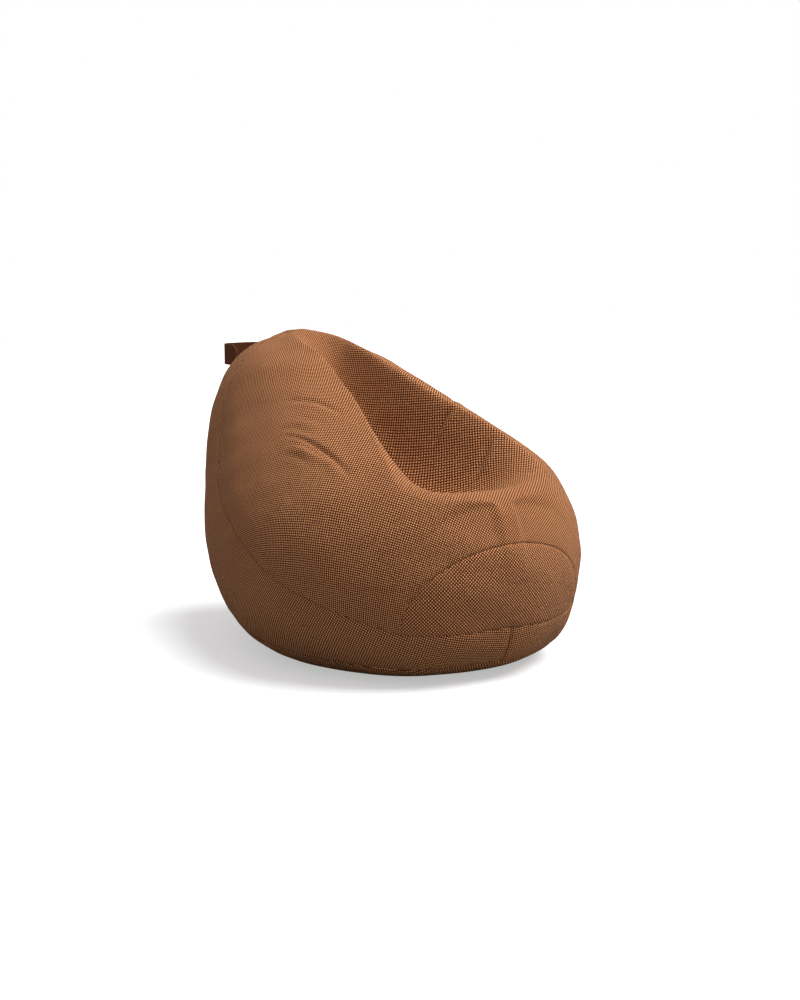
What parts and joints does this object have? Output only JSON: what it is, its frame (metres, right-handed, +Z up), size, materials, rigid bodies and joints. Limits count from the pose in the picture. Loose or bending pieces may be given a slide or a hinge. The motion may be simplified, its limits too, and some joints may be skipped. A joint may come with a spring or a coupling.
{
  "type": "bean bag chair",
  "caption": "Teardrop bean bag chair with a hollowed seat, a high back, a woven panelled cover over a lined bead fill, a grab handle and a zip in the base seam",
  "frame": {"origin": "on the floor under the seat, on the plane of symmetry", "axes": "+X to the sitter's left, -Y the way the sitter faces, +Z up"},
  "size_m": [0.853, 1.2064, 0.7627],
  "materials": {
    "woven_cover": "chunky two-tone weave",
    "lining": "plain woven",
    "beads": "expanded foam beads",
    "webbing": "woven strap",
    "zip_tape": "fine woven",
    "zip_teeth": "nylon coil",
    "zip_metal": "dark bronze",
    "label": "smooth tape"
  },
  "bodies": {
    "bag": {"cover_main_panel": "woven_cover", "cover_front_panel": "woven_cover", "cover_band_left": "woven_cover", "cover_band_right": "woven_cover", "cover_base_panel": "woven_cover", "lining_main_panel": "lining", "lining_front_panel": "lining", "lining_band_left": "lining", "lining_band_right": "lining", "lining_base_panel": "lining", "bead_fill": "beads", "handle_patch_left": "webbing", "handle_patch_right": "webbing", "zip_tape_upper": "zip_tape", "zip_tape_lower": "zip_tape", "zip_teeth_upper": "zip_teeth", "zip_teeth_lower": "zip_teeth", "zip_stop_closed_end": "zip_metal", "zip_stop_open_end": "zip_metal", "care_label": "label"},
    "strap": {"handle_strap": "webbing"},
    "slider": {"zip_slider": "zip_metal"},
    "pull": {"zip_pull": "zip_metal"}
  },
  "joints": [
    {"name": "handle_swing", "type": "hinge", "parent": "bag", "child": "strap", "pos_m": [0, 0.66551, 0.68474], "axis": [1, 0, 0], "range_deg": [-25, 20]},
    {"name": "zip_travel", "type": "hinge", "parent": "bag", "child": "slider", "pos_m": [0, 0.22963, 0.092], "axis": [0, 0, -1], "range_deg": [0, 56.8]},
    {"name": "pull_swing", "type": "hinge", "parent": "slider", "child": "pull", "pos_m": [-0.13999, 0.48811, 0.09138], "axis": [0.8793, 0.4762, 0], "range_deg": [0, 60]}
  ]
}
